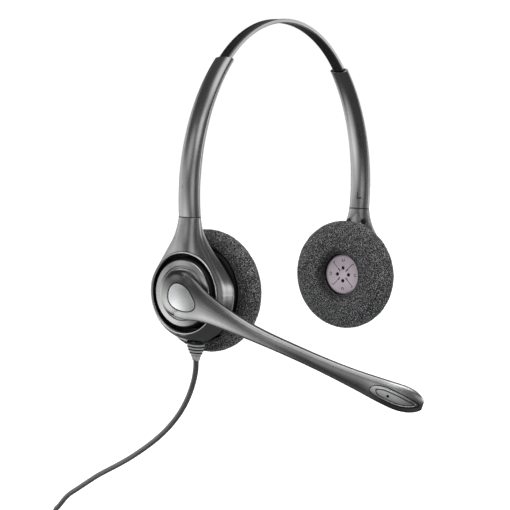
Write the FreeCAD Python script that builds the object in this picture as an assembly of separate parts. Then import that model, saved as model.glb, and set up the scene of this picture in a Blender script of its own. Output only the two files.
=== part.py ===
import FreeCAD, Part
import math
import os

# Corded binaural office headset.  Millimetres, +Z up, the wearer faces -Y and
# the wearer's left is +X.  The finished origin is the centre of the headband's
# inner face at the crown.
#
# While modelling, z = 0 is the line the capsules tilt about, and everything is
# built on the +X side, where +X points away from the head.  Right-hand pieces
# are mirrored on saving.  The boom microphone and the cable are on the right.

Vector = FreeCAD.Vector
ORIGIN = Vector(0, 0, 0)
X_AXIS = Vector(1, 0, 0)
Y_AXIS = Vector(0, 1, 0)
Z_AXIS = Vector(0, 0, 1)

# ---- driving dimensions (angles in degrees) -----------------------------
GAP = 0.05                        # fitting gap between neighbouring pieces

CROWN_RADIUS = 67.4               # headband crown arc, neutral line
CROWN_ARC_Z = 56.37               # height of its centre
CROWN_HALF_ANGLE = 46.0
SIDE_RADIUS = 85.14               # side arcs, neutral line
SIDE_ARC_X, SIDE_ARC_Z = -12.76, 44.05   # centre of the left side arc

BAND_WIDTH, BAND_THICKNESS = 6.13, 1.88  # headband channel
BAND_END = 63.4                   # channel runs to here inside the arms
SPRING_END = 80.2                 # the flat spring runs further
LINER_PROUD = 0.04                # liner stands this far inside the channel
CROWN_Z = CROWN_ARC_Z + CROWN_RADIUS - BAND_THICKNESS / 2 - LINER_PROUD

ARM_END = 97.25                   # arm bottom, along the side arc
ARM_HALF_WIDTH = (5.00, 5.85)     # top, bottom
ARM_HALF_THICKNESS = (1.88, 1.98)
ARM_OUTER_FLATTENING = 0.83       # the outer half of the section is flatter
ARM_SPLIT = -0.40                 # parting of the arm covers, from the neutral line

RING_OPENING_RADIUS = 17.41       # opening of the yoke's ring
TILT_X = 71.0                     # capsule tilt axis
FOAM_RADIUS = 27.5
FOAM_FACE_X = 51.8                # foam face toward the head

CABLE_RADIUS = 1.25
RELIEF_TOP = Vector(67.3, -1.3, -22.2)   # strain relief under the right ring
RELIEF_DIR = Vector(-0.13, 0.06, -1.0).normalize()


# ---- saving -------------------------------------------------------------
def save(name, shape, right=False):
    if right:
        shape = shape.mirror(ORIGIN, X_AXIS)
    solids = []
    for solid in shape.Solids:
        if solid.Volume < 0:
            solid.reverse()
        solids.append(solid)
    shape = solids[0] if len(solids) == 1 else Part.makeCompound(solids)
    shape.translated(Vector(0, 0, -CROWN_Z)).exportStep("parts/" + name + ".step")


def save_pair(name, shape):
    save(name + "_left", shape)
    save(name + "_right", shape, right=True)


# ---- geometry helpers ---------------------------------------------------
def lerp(start, end, fraction):
    return start + (end - start) * fraction


def monotone_cubic(x, knots, values):
    """Smooth value at x that never overshoots the table."""
    if x <= knots[0]:
        return values[0]
    if x >= knots[-1]:
        return values[-1]
    count = len(knots)
    chords = [(values[i + 1] - values[i]) / (knots[i + 1] - knots[i]) for i in range(count - 1)]
    slopes = [chords[0]]
    for before, after in zip(chords[:-1], chords[1:]):
        turns = before * after <= 0
        slopes.append(0.0 if turns else 2 * before * after / (before + after))
    slopes.append(chords[-1])
    i = next(k for k in range(count - 1) if x <= knots[k + 1])
    span = knots[i + 1] - knots[i]
    t = (x - knots[i]) / span
    return (values[i] * (1 + 2 * t) * (1 - t) ** 2
            + slopes[i] * span * t * (1 - t) ** 2
            + values[i + 1] * t * t * (3 - 2 * t)
            + slopes[i + 1] * span * t * t * (t - 1))


def polar(centre_x, centre_z, radius, angle, y=0.0):
    """Point on an arc in the XZ plane, angle measured from +Z toward +X."""
    turn = math.radians(angle)
    return Vector(centre_x + radius * math.sin(turn), y, centre_z + radius * math.cos(turn))


def polygon_face(points):
    return Part.Face(Part.makePolygon(points + [points[0]]))


def sweep_arc(centre_x, centre_z, profile, start, end):
    """Turn (radius, y) corners about the Y direction through the centre."""
    face = polygon_face([polar(centre_x, centre_z, r, start, y) for r, y in profile])
    return face.revolve(Vector(centre_x, 0, centre_z), Y_AXIS, end - start)


def spline_edge(points):
    curve = Part.BSplineCurve()
    curve.interpolate(points)
    return curve.toShape()


def half_plane(profile):
    """(x, radius) pairs as points in the XZ plane."""
    return [Vector(x, 0, radius) for x, radius in profile]


def turned(profile):
    """Turn (x, radius) corners about the X axis."""
    return polygon_face(half_plane(profile)).revolve(ORIGIN, X_AXIS, 360.0)


def turned_smooth(crown, closing):
    """As turned, but with a smooth line through crown, closed by corners."""
    edges = [spline_edge(half_plane(crown))]
    corners = half_plane([crown[-1]] + closing + [crown[0]])
    for start, end in zip(corners[:-1], corners[1:]):
        edges.append(Part.makeLine(start, end))
    return Part.Face(Part.Wire(edges)).revolve(ORIGIN, X_AXIS, 360.0)


def x_cylinder(radius, x0, x1, y=0.0, z=0.0):
    return Part.makeCylinder(radius, x1 - x0, Vector(x0, y, z), X_AXIS)


def tilt_cylinders(radius, length, y_start):
    """Two cylinders on the capsule's tilt axis, one each way from the middle."""
    return [Part.makeCylinder(radius, length, Vector(TILT_X, s * y_start, 0), Vector(0, s, 0))
            for s in (1, -1)]


def signed_power(value, exponent):
    return math.copysign(abs(value) ** (2.0 / exponent), value)


def superellipse(half_a, half_b, exponent, count=28):
    angles = [math.pi / 2 + 2 * math.pi * i / count for i in range(count)]
    return [(signed_power(math.cos(t), exponent) * half_a,
             signed_power(math.sin(t), exponent) * half_b) for t in angles]


def ring_wire(points):
    """Closed smooth wire with evenly spaced parameters, so lofts stay aligned."""
    count = len(points)
    curve = Part.BSplineCurve()
    curve.interpolate(Points=points, PeriodicFlag=True,
                      Parameters=[i / float(count) for i in range(count + 1)])
    return Part.Wire(curve.toShape())


def loft(wires, ruled=False):
    shape = Part.makeLoft(wires, True, ruled)
    if shape.Volume < 0:
        shape.reverse()
    return shape


def tube(points, radius):
    edge = spline_edge(points)
    start_dir = edge.tangentAt(edge.FirstParameter)
    ring = Part.Wire(Part.makeCircle(radius, points[0], start_dir))
    return Part.Wire(edge).makePipeShell([ring], True, True)


# ---- headband -----------------------------------------------------------
# Profiles are (offset outward from the neutral line, y) corners.
def rectangle(offset0, offset1, half_y):
    return [(offset0, -half_y), (offset1, -half_y), (offset1, half_y), (offset0, half_y)]


def side_bar(profile, start, end):
    """Profile swept along the left side arc."""
    return sweep_arc(SIDE_ARC_X, SIDE_ARC_Z, [(SIDE_RADIUS + d, y) for d, y in profile],
                     start, end)


def side_point(angle, offset=0.0, y=0.0):
    return polar(SIDE_ARC_X, SIDE_ARC_Z, SIDE_RADIUS + offset, angle, y)


def band(profile, end):
    """Profile swept over the crown and down both side arcs to the end angle."""
    crown = sweep_arc(0.0, CROWN_ARC_Z, [(CROWN_RADIUS + d, y) for d, y in profile],
                      -CROWN_HALF_ANGLE, CROWN_HALF_ANGLE)
    left = side_bar(profile, CROWN_HALF_ANGLE, end)
    right = left.mirror(ORIGIN, X_AXIS)
    return crown.fuse([left, right]).removeSplitter()


def save_headband():
    half_w, half_t = BAND_WIDTH / 2, BAND_THICKNESS / 2
    chamfer = 0.28
    recess_w = 2.35               # shallow recess in the inner face
    recess_floor = -half_t + 0.26
    groove_w = 2.15               # deep groove in the outer face
    groove_floor = -0.36
    channel = [
        (-half_t, -half_w + chamfer), (-half_t, -recess_w), (recess_floor, -recess_w),
        (recess_floor, recess_w), (-half_t, recess_w), (-half_t, half_w - chamfer),
        (-half_t + chamfer, half_w), (half_t - chamfer, half_w), (half_t, half_w - chamfer),
        (half_t, groove_w), (groove_floor, groove_w), (groove_floor, -groove_w),
        (half_t, -groove_w), (half_t, -half_w + chamfer), (half_t - chamfer, -half_w),
        (-half_t + chamfer, -half_w)]
    inlay = [(0.34, -2.10), (0.34, 2.10), (0.62, 2.10), (0.74, 1.90), (0.74, -1.90),
             (0.62, -2.10)]
    liner_in, liner_edge, liner_out = -half_t - LINER_PROUD, -half_t + 0.02, -half_t + 0.22
    liner = [(liner_in, -2.1), (liner_edge, -2.3), (liner_out, -2.3),
             (liner_out, 2.3), (liner_edge, 2.3), (liner_in, 2.1)]
    save("headband_channel", band(channel, BAND_END))
    save("headband_inlay", band(inlay, BAND_END))
    save("headband_liner", band(liner, BAND_END))
    save("crossover_flex", band(rectangle(0.10, 0.30, 0.7), BAND_END - 0.3))


SLOT_COUNT, SLOT_FIRST, SLOT_PITCH = 6, 66.5, 2.5    # slots in each spring end


def save_headband_spring():
    spring = band(rectangle(-0.32, 0.06, 2.0), SPRING_END)
    for k in range(SLOT_COUNT):
        angle = SLOT_FIRST + SLOT_PITCH * k
        slot = Part.makeBox(0.8, 1.6, 3.0, Vector(-0.4, -0.8, -1.5))
        slot.rotate(ORIGIN, Y_AXIS, angle)
        slot.translate(side_point(angle))
        spring = spring.cut([slot, slot.mirror(ORIGIN, X_AXIS)])
    save("headband_spring", spring)


def save_slider_tips():
    """Chamfered blocks on the spring's ends, sliding inside the arms."""
    profile = [(-0.9, -3.2), (-0.6, -3.5), (0.6, -3.5), (0.9, -3.2),
               (0.9, 3.2), (0.6, 3.5), (-0.6, 3.5), (-0.9, 3.2)]
    tip = side_bar(profile, 79.7, 82.4)
    spring_slot = side_bar(rectangle(-0.37, 0.11, 2.05), 79.0, SPRING_END + 0.05)
    save_pair("slider_tip", tip.cut(spring_slot))


# ---- arms ---------------------------------------------------------------
ARM_STATIONS = (46.0, 51.0, 56.5, 62.0, 67.5, 73.0, 78.5, 84.0, 89.0, 93.5, ARM_END)

# The swivel axis is the arm's tangent at its lower end, pointing down.
SEAM = side_point(ARM_END)
SWIVEL_DIR = Vector(math.cos(math.radians(ARM_END)), 0, -math.sin(math.radians(ARM_END)))
PIN_BORE_RADIUS, PIN_HEAD_BORE_RADIUS = 0.85, 1.10
DUCT_RADIUS, DUCT_Y = 0.55, 2.6   # wire duct beside the swivel pin


def on_swivel_axis(distance):
    return SEAM + SWIVEL_DIR * distance


def swivel_cylinder(radius, start, length, y=0.0):
    """Cylinder along the swivel axis; start is measured down from the seam."""
    return Part.makeCylinder(radius, length, on_swivel_axis(start) + Vector(0, y, 0), SWIVEL_DIR)


def arm_section(angle):
    fraction = (angle - CROWN_HALF_ANGLE) / (ARM_END - CROWN_HALF_ANGLE)
    half_width = lerp(*ARM_HALF_WIDTH, fraction)
    half_thickness = lerp(*ARM_HALF_THICKNESS, fraction)
    return ring_wire([side_point(angle, d * ARM_OUTER_FLATTENING if d > 0 else d, y)
                      for y, d in superellipse(half_width, half_thickness, 2.5)])


def arm_layer(offset0, offset1):
    """Slab between two offsets from the neutral line, wider than the arm."""
    return side_bar(rectangle(offset0, offset1, 20), 40.0, 104.0)


def arm_cavities():
    return [
        # room for the headband, then for the slider tip
        side_bar(rectangle(-1.04, 1.04, 3.2), 45.0, 65.0),
        side_bar(rectangle(-1.04, 1.04, 3.58), 64.4, 83.0),
        # detent pocket on the inner side
        side_bar(rectangle(-1.38, -0.9, 1.5), 66.0, 71.5),
        # swivel pin bore, its head pocket and the wire duct
        swivel_cylinder(PIN_BORE_RADIUS, -8.2, 9.0),
        swivel_cylinder(PIN_HEAD_BORE_RADIUS, -7.0, 1.9),
        swivel_cylinder(DUCT_RADIUS, -14.0, 14.5, DUCT_Y),
    ]


# side letters, 3.5 tall: strokes as (y0, y1, z0, z1) about the letter's centre
LETTER_STROKES = {
    "left": [(-1.35, -0.65, -1.75, 1.75), (-1.35, 1.35, -1.75, -1.05)],
    "right": [(-1.35, -0.65, -1.75, 1.75), (-0.65, 0.85, 1.05, 1.75),
              (-0.65, 0.85, -0.35, 0.35), (0.65, 1.35, 0.0, 1.5), (0.55, 1.25, -1.75, -0.3)],
}
LETTER_ANGLE = 92.6               # place along the side arc


def letter_block(side):
    """The side's letter as a block through the arm's inner face."""
    block = None
    for y0, y1, z0, z1 in LETTER_STROKES[side]:
        stroke = Part.makeBox(1.9, y1 - y0, z1 - z0, Vector(-2.4, y0, z0))
        block = stroke if block is None else block.fuse(stroke)
    block = block.removeSplitter()
    if side == "left":
        # seen from inside, the letter's right is the wearer's front on the left arm
        block = block.mirror(ORIGIN, Y_AXIS)
    block.rotate(ORIGIN, Y_AXIS, LETTER_ANGLE - 90.0)
    block.translate(side_point(LETTER_ANGLE) + Vector(0, -0.6, 0))
    return block


def save_arms():
    body = loft([arm_section(angle) for angle in ARM_STATIONS])
    hollowed = body.cut(arm_cavities())
    inner = hollowed.common(arm_layer(-12, ARM_SPLIT))
    save_pair("arm_cover_outer", hollowed.common(arm_layer(ARM_SPLIT + GAP, 12)))
    for side in ("left", "right"):
        on_right = side == "right"
        block = letter_block(side)
        pocket = block.common(arm_layer(-12, -1.50))
        letter = body.common(block).common(arm_layer(-12, -1.54))
        save("arm_cover_inner_" + side, inner.cut(pocket), on_right)
        save("side_letter_" + side, letter, on_right)


def save_detent_springs():
    leaf = side_bar(rectangle(-1.33, -1.18, 1.3), 66.3, 71.2)
    bump = side_bar([(-1.19, -0.6), (-0.97, -0.4), (-0.97, 0.4), (-1.19, 0.6)], 68.5, 69.0)
    save_pair("detent_spring", leaf.fuse(bump).removeSplitter())


# ---- yoke ---------------------------------------------------------------
# horizontal sections from the ring's middle up to the neck:
# z, half width, inner x, outer x, taper of the outer side, superellipse exponent
YOKE_STATIONS = [
    (0.0, 23.35, 66.0, 75.46, 0.17, 5.6),
    (2.0, 23.25, 66.0, 75.46, 0.17, 5.5),
    (4.5, 22.65, 66.0, 75.46, 0.165, 5.3),
    (7.5, 20.85, 66.05, 75.45, 0.15, 5.0),
    (11.5, 17.9, 66.2, 75.42, 0.13, 4.5),
    (15.5, 14.6, 66.6, 75.35, 0.10, 4.0),
    (19.5, 11.4, 67.25, 75.2, 0.06, 3.5),
    (23.5, 8.75, 68.1, 74.82, 0.03, 3.0),
    (27.5, 7.05, 69.0, 74.25, 0.01, 2.7),
    (31.0, 6.2, 69.6, 73.72, 0.0, 2.55),
    (34.0, 5.86, 69.85, 73.42, 0.0, 2.5),
    (36.5, 5.80, 69.95, 73.50, 0.0, 2.5),
]
YOKE_COVER_DEPTH = 1.35           # inner cover, from the yoke's inner face
YOKE_WALL = 1.45
RING_WALL = 1.15                  # wall left around the ring's opening
SCREW_Y, SCREW_Z = 4.3, 26.9      # neck screws, one each side of the middle
SCREW_SEAT_X = 69.55


def yoke_section(station, inset, per_quarter=9, samples=400):
    """Tapered superellipse, with points at even arc length in each quarter."""
    z, half_width, x_in, x_out, taper, exponent = station
    half_width -= inset
    x_out -= inset
    half_depth, x_mid = (x_out - x_in) / 2, (x_out + x_in) / 2

    def point_at(angle):
        y = signed_power(math.cos(angle), exponent) * half_width
        depth = signed_power(math.sin(angle), exponent)
        return Vector(x_mid + depth * half_depth, y * (1.0 - taper * (depth + 1) / 2), z)

    points = []
    for quarter in (1, 2, 3, 0):  # begins at the outer plane
        fine = [point_at(math.pi / 2 * (quarter + k / float(samples)))
                for k in range(samples + 1)]
        run = [0.0]
        for a, b in zip(fine[:-1], fine[1:]):
            run.append(run[-1] + math.hypot(b.x - a.x, b.y - a.y))
        for j in range(per_quarter):
            wanted = run[-1] * j / per_quarter
            points.append(fine[min(range(samples + 1), key=lambda k: abs(run[k] - wanted))])
    return ring_wire(points)


def yoke_body(inset=0.0):
    """Lofted upper part; the lower ring is half the middle section, turned."""
    wires = [yoke_section(station, inset) for station in YOKE_STATIONS]
    upper = loft(wires)
    positive_y = Part.makePlane(60, 60, Vector(40, 0, 0), Z_AXIS)
    half = Part.Face(wires[0]).common(positive_y)
    lower = half.Faces[0].revolve(ORIGIN, X_AXIS, -180)
    if lower.Volume < 0:
        lower.reverse()
    return upper.fuse(lower)


def yoke_inner_block(depth):
    """Everything on the head side of a line this deep below the inner face."""
    line = [Vector(station[2] + depth, -40, station[0]) for station in YOKE_STATIONS]
    low_back, low_front = Vector(30, -40, -40), Vector(line[0].x, -40, -40)
    high_back = Vector(30, -40, line[-1].z)
    edges = [Part.makeLine(low_back, low_front),
             Part.makeLine(low_front, line[0]),
             spline_edge(line),
             Part.makeLine(line[-1], high_back),
             Part.makeLine(high_back, low_back)]
    return Part.Face(Part.Wire(edges)).extrude(Vector(0, 80, 0))


def screw_cylinders(radius, x0, x1):
    return [x_cylinder(radius, x0, x1, s * SCREW_Y, SCREW_Z) for s in (1, -1)]


def neck_tab():
    """Raised four-cornered tab on the neck's inner face."""
    outline = [Vector(60, 0.35, 31.4), Vector(60, 3.55, 27.6), Vector(60, 0.1, 23.4),
               Vector(60, -3.0, 27.6)]
    prism = polygon_face(outline).extrude(Vector(15, 0, 0))
    return prism.common(yoke_inner_block(0.3).cut(yoke_inner_block(-0.22)))


def save_yokes():
    body = yoke_body()
    # cut the neck square to the swivel axis, a fitting gap below the arm
    above_seam = Part.makeBox(40, 40, 20, Vector(-20, -20, 0))
    above_seam.rotate(ORIGIN, Y_AXIS, ARM_END - 90.0)
    above_seam.translate(on_swivel_axis(0.12))
    body = body.cut(above_seam)

    cover_side = yoke_inner_block(YOKE_COVER_DEPTH)
    cover_side_gap = yoke_inner_block(YOKE_COVER_DEPTH + GAP)
    opening = x_cylinder(RING_OPENING_RADIUS, 60, 80)
    ring_wall = x_cylinder(RING_OPENING_RADIUS + RING_WALL, 60, 80)
    solid_neck = Part.makeBox(60, 60, 60, Vector(40, -30, 25.0))
    hollow = yoke_body(YOKE_WALL).cut([ring_wall, solid_neck])
    swivel_bores = [swivel_cylinder(PIN_BORE_RADIUS, -0.5, 9.0),
                    swivel_cylinder(PIN_HEAD_BORE_RADIUS, 5.2, 1.9)]

    outer = body.cut([cover_side_gap, opening, hollow])
    pin_bosses = tilt_cylinders(2.0, 2.3, RING_OPENING_RADIUS + 0.35)
    outer = outer.fuse([boss.cut(cover_side_gap) for boss in pin_bosses])
    outer = outer.cut(tilt_cylinders(1.05, 4.2, 15.0) + swivel_bores +
                      [swivel_cylinder(DUCT_RADIUS, -0.5, 9.0, DUCT_Y)] +
                      screw_cylinders(0.63, 68.0, 73.0))

    inner = body.common(cover_side).cut([opening])
    inner = inner.fuse(neck_tab())
    inner = inner.cut(screw_cylinders(0.72, 60, 74) + screw_cylinders(1.35, 60.0, 69.6) +
                      swivel_bores)

    save("yoke_shell_outer_left", outer)
    save("yoke_shell_inner_left", inner)
    # the strain relief's seat is only in the right ring
    relief_bore = Part.makeCylinder(2.0, 6.0, RELIEF_TOP - RELIEF_DIR * 3.4, RELIEF_DIR)
    save("yoke_shell_outer_right", outer.cut([relief_bore]), right=True)
    save("yoke_shell_inner_right", inner.cut([relief_bore]), right=True)


def save_yoke_screws():
    """Screws with a cross recess, driven from the head side."""
    shanks = screw_cylinders(0.58, SCREW_SEAT_X - 0.05, 72.6)
    heads = screw_cylinders(1.25, SCREW_SEAT_X - 0.85, SCREW_SEAT_X)
    screws = []
    for s, shank, head in zip((1, -1), shanks, heads):
        recess = [Part.makeBox(0.5, width, height,
                               Vector(SCREW_SEAT_X - 0.9, s * SCREW_Y - width / 2,
                                      SCREW_Z - height / 2))
                  for width, height in ((1.7, 0.34), (0.34, 1.7))]
        screws.append(shank.fuse(head).removeSplitter().cut(recess))
    save_pair("yoke_screws", Part.makeCompound(screws))


def save_pins():
    pin = swivel_cylinder(0.80, -6.8, 13.6)
    heads = [swivel_cylinder(1.00, start, 1.5) for start in (-6.8, 5.4)]
    save_pair("swivel_pin", pin.fuse(heads).removeSplitter())
    save_pair("tilt_pins", Part.makeCompound(tilt_cylinders(1.0, 3.6, 15.4)))


# ---- capsule ------------------------------------------------------------
# Turned profiles are (x, radius) corners; the head is toward smaller x.
CUP_PROFILE = [
    (62.9, 20.2), (63.4, 20.2), (63.95, 19.2), (64.2, 17.4), (64.5, 16.5), (66.2, 16.0),
    (73.2, 15.9), (74.8, 15.1), (75.3, 14.3), (75.3, 4.6), (73.9, 4.6), (73.9, 12.9),
    (73.0, 14.0), (72.0, 14.6), (64.0, 14.6), (63.45, 15.4), (63.3, 18.9), (62.9, 18.9)]
FRONT_PROFILE = [
    (62.8, 18.8), (62.8, 20.6), (62.2, 21.2), (61.5, 21.2), (61.2, 20.8), (61.2, 13.2),
    (60.4, 11.6), (58.4, 10.7), (57.7, 10.2), (57.4, 9.4), (57.4, 0.0), (58.4, 0.0),
    (58.4, 9.2), (59.0, 9.6), (60.9, 10.2), (62.0, 12.0), (62.0, 18.0)]
TURNED_PIECES = {
    # disc on the outer end: flat annulus, step, lower middle with a hole
    "trim_disc": [
        (75.36, 4.7), (75.36, 14.3), (75.7, 14.67), (76.1, 14.67), (76.34, 14.4),
        (76.34, 12.2), (75.95, 11.9), (75.95, 11.2), (76.25, 10.95), (76.25, 4.7)],
    "driver_basket": [
        (58.95, 9.05), (59.75, 9.05), (60.7, 9.7), (61.9, 11.2), (62.3, 14.3), (63.1, 14.3),
        (63.1, 10.8), (63.9, 10.0), (63.9, 7.2), (63.1, 7.2), (63.1, 9.2), (61.6, 9.2),
        (60.2, 8.4), (58.95, 8.4)],
    "driver_magnet": [
        (61.3, 0.0), (61.3, 6.9), (64.4, 6.9), (64.4, 8.6), (66.2, 8.6), (66.2, 0.0)],
    "diaphragm": [
        (59.1, 8.3), (59.8, 7.6), (59.95, 7.0), (59.7, 6.2), (60.35, 4.2), (60.7, 3.1),
        (60.05, 1.6), (59.75, 0.0), (59.97, 0.0), (60.27, 1.55), (60.95, 3.1),
        (60.58, 4.28), (59.96, 6.2), (60.2, 7.1), (60.0, 7.75), (59.27, 8.38)],
}

GRILLE_HOLE_RADIUS, GRILLE_HOLE_CIRCLE = 0.95, 3.3
ENGRAVING_X = 56.99               # just clear of the grille's face
ENGRAVED_RING_CIRCLE = 7.4
# boxes on the grille's diagonals: size, corner before turning about X
GRILLE_BOXES = [
    ((2.0, 1.9, 0.55), (57.0, 2.35, -0.275)),           # through slot
    ((0.65, 3.6, 0.3), (ENGRAVING_X, 4.7, -0.15)),      # engraved radial line
    ((0.65, 0.3, 1.25), (ENGRAVING_X, 8.0, -0.15)),     # short line across it
]


def save_speaker_cups():
    cup = turned(CUP_PROFILE)
    limit = x_cylinder(15.9, 60, 80)
    cup = cup.fuse([seat.common(limit) for seat in tilt_cylinders(2.2, 2.3, 13.7)])
    save_pair("speaker_cup", cup.cut(tilt_cylinders(1.05, 4.0, 15.1)))


def grille_cuts():
    cuts = []
    for k in range(4):
        angle = math.radians(90 * k)
        cuts.append(x_cylinder(GRILLE_HOLE_RADIUS, 57.0, 59.0,
                               GRILLE_HOLE_CIRCLE * math.cos(angle),
                               GRILLE_HOLE_CIRCLE * math.sin(angle)))
        for size, corner in GRILLE_BOXES:
            block = Part.makeBox(*size, Vector(*corner))
            block.rotate(ORIGIN, X_AXIS, 45 + 90 * k)
            cuts.append(block)
        # engraved ring, open on its outward side
        ring = x_cylinder(0.85, ENGRAVING_X, 57.64, ENGRAVED_RING_CIRCLE)
        ring = ring.cut(x_cylinder(0.5, 56.9, 57.7, ENGRAVED_RING_CIRCLE))
        ring = ring.cut(Part.makeBox(2, 1.2, 0.7, Vector(56.5, ENGRAVED_RING_CIRCLE, -0.35)))
        ring.rotate(ORIGIN, X_AXIS, 90 * k)
        cuts.append(ring)
    return cuts


def save_ear_cushions():
    """Foam ring, flat toward the ear, stretched over the front shell."""
    outside = [(FOAM_FACE_X, 19.0), (52.6, 22.6), (54.5, 25.6), (57.2, FOAM_RADIUS),
               (59.6, 27.2), (61.1, 25.7), (61.9, 23.7), (62.1, 21.6)]
    inside = [(61.0, 13.15), (60.2, 12.2), (58.4, 11.1), (56.4, 10.4), (54.2, 10.7),
              (52.7, 12.2), (FOAM_FACE_X, 15.0)]
    outside, inside = half_plane(outside), half_plane(inside)
    corner = Vector(61.0, 0, 21.6)
    edges = [Part.makeLine(inside[-1], outside[0]),
             spline_edge(outside),
             Part.makeLine(outside[-1], corner),
             Part.makeLine(corner, inside[0]),
             spline_edge(inside)]
    foam = Part.Face(Part.Wire(edges)).revolve(ORIGIN, X_AXIS, 360)
    save_pair("ear_cushion", foam)


def save_capsules():
    save_speaker_cups()
    save_pair("speaker_front", turned(FRONT_PROFILE).cut(grille_cuts()))
    save_pair("grille_felt", x_cylinder(9.0, 58.46, 58.86))
    for name, profile in TURNED_PIECES.items():
        save_pair(name, turned(profile))
    save_ear_cushions()


def save_left_cap():
    """Domed cap and its badge, on the side without a boom."""
    cap = turned_smooth(
        [(76.9, 10.3), (78.0, 10.15), (79.2, 9.2), (80.1, 7.2), (80.6, 4.0), (80.75, 0.0)],
        [(73.0, 0.0), (73.0, 4.5), (76.35, 4.5), (76.35, 9.9)])
    save("blank_cap_left", cap.cut(x_cylinder(5.3, 80.35, 82.0)))
    save("cap_badge_left",
         turned([(80.4, 0.0), (80.4, 5.2), (80.6, 5.2), (80.95, 4.6), (81.1, 0.0)]))


# ---- boom ---------------------------------------------------------------
# Places on the boom are s along it from the hub's centre, w across it
# (positive downward) and d along its outward normal.
BOOM_ANGLE = 18.4                 # below the horizontal
BOOM_X = 79.55                    # mid surface at the hub
BOOM_BEND = 16.3                  # inward bend, per (100 mm) squared
BOOM_BEND_START = 14.0
BOOM_DIR = Vector(0, -math.cos(math.radians(BOOM_ANGLE)), -math.sin(math.radians(BOOM_ANGLE)))
BOOM_ACROSS = Vector(0, math.sin(math.radians(BOOM_ANGLE)), -math.cos(math.radians(BOOM_ANGLE)))

# s, half width, w of the section's middle, half thickness
BOOM_STATIONS = [
    (2.0, 9.9, 0.0, 1.45), (6.0, 9.5, 0.0, 1.5), (10.0, 8.35, 0.0, 1.55),
    (14.0, 7.0, 0.0, 1.6), (18.0, 6.05, 0.0, 1.75), (23.0, 5.3, 0.05, 1.95),
    (29.0, 4.65, 0.15, 2.15), (37.0, 3.9, 0.28, 2.3), (48.0, 3.28, 0.25, 2.25),
    (60.0, 3.1, 0.13, 2.15), (73.0, 3.2, 0.2, 2.1), (85.0, 3.7, 0.45, 2.1),
    (92.5, 4.25, 0.6, 2.15), (99.5, 4.93, 0.75, 2.25), (105.5, 5.45, 0.8, 2.35),
    (110.5, 5.58, 0.65, 2.3), (114.3, 4.95, 0.4, 2.0), (116.9, 3.75, 0.3, 1.5),
    (118.8, 2.0, 0.3, 0.85),
]
WIRE_RUN = (14, 20, 30, 45, 60, 75, 88)   # s of the wire's points between its ends
MIC_PLACE = (107.5, 0.8)                  # s, w
MIC_HOLE_PLACE = (105.2, 1.3)

# lens shaped plate near the tip: s, w
PLATE_OUTLINE = [
    (98.0, 1.2), (98.9, 2.4), (102.0, 3.4), (106.2, 3.95), (110.4, 3.9), (114.2, 3.05),
    (116.7, 1.85), (118.0, 0.4), (115.6, -0.75), (111.4, -1.5), (107.3, -1.9),
    (103.6, -1.95), (100.2, -1.15), (98.4, 0.05)]
PLATE_CENTRE = (sum(s for s, w in PLATE_OUTLINE) / len(PLATE_OUTLINE),
                sum(w for s, w in PLATE_OUTLINE) / len(PLATE_OUTLINE))
# rounded teardrop badge on the hub, pointing along the boom: s, w
BADGE_OUTLINE = [
    (-0.4, -4.8), (2.4, -5.1), (5.4, -4.4), (8.1, -2.8), (10.4, -1.0), (11.5, 0.7),
    (11.2, 2.5), (9.4, 4.1), (6.2, 5.4), (2.5, 5.9), (-0.5, 5.3), (-2.6, 3.6),
    (-3.5, 1.2), (-3.5, -1.5), (-2.4, -3.6)]
BADGE_CENTRE = (4.0, 0.5)


def boom_point(s, w, d):
    """Point on the boom; the outward normal leans as the boom bends."""
    past_start = max(0.0, s - BOOM_BEND_START)
    x = BOOM_X - BOOM_BEND * (past_start / 100.0) ** 2
    tangent = Vector(-BOOM_BEND * 2 * past_start / 1e4, 0, 0) + BOOM_DIR
    tangent.normalize()
    normal = X_AXIS - tangent * tangent.x
    normal.normalize()
    return BOOM_DIR * s + Vector(x, 0, 0) + BOOM_ACROSS * w + normal * d


def boom_section(s, half_width, middle, half_thickness):
    return ring_wire([boom_point(s, w + middle, d)
                      for w, d in superellipse(half_width, half_thickness, 2.4)])


def boom_cylinder(place, radius, start, length):
    """Cylinder along the boom's outward normal at a place (s, w)."""
    centre = boom_point(*place, 0)
    normal = boom_point(*place, 1) - centre
    return Part.makeCylinder(radius, length, centre + normal * start, normal)


def boom_tube(start, end, radius):
    return tube([boom_point(s, 0, 0) for s in (start,) + WIRE_RUN + (end,)], radius)


def boom_prism(outline, centre, grow, x0, x1):
    """Prism along X on an (s, w) outline, grown outward from a centre."""
    points = []
    for s, w in outline:
        ds, dw = s - centre[0], w - centre[1]
        length = math.hypot(ds, dw)
        scale = (length + grow) / length
        points.append(Vector(x0, 0, 0) + BOOM_DIR * (centre[0] + ds * scale)
                      + BOOM_ACROSS * (centre[1] + dw * scale))
    return Part.Face(ring_wire(points)).extrude(Vector(x1 - x0, 0, 0))


def boom_head_side():
    """Block on the head side of the boom's parting surface."""
    start, end = 12.0, 124.0
    parting = [boom_point(lerp(start, end, i / 24.0), 0, -0.35) for i in range(25)]
    far_end = Vector(30, 0, 0) + BOOM_DIR * end
    far_start = Vector(30, 0, 0) + BOOM_DIR * start
    face = Part.Face(Part.Wire([spline_edge(parting),
                                Part.makeLine(parting[-1], far_end),
                                Part.makeLine(far_end, far_start),
                                Part.makeLine(far_start, parting[0])]))
    face.translate(BOOM_ACROSS * -12)
    return face.extrude(BOOM_ACROSS * 24)


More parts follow.
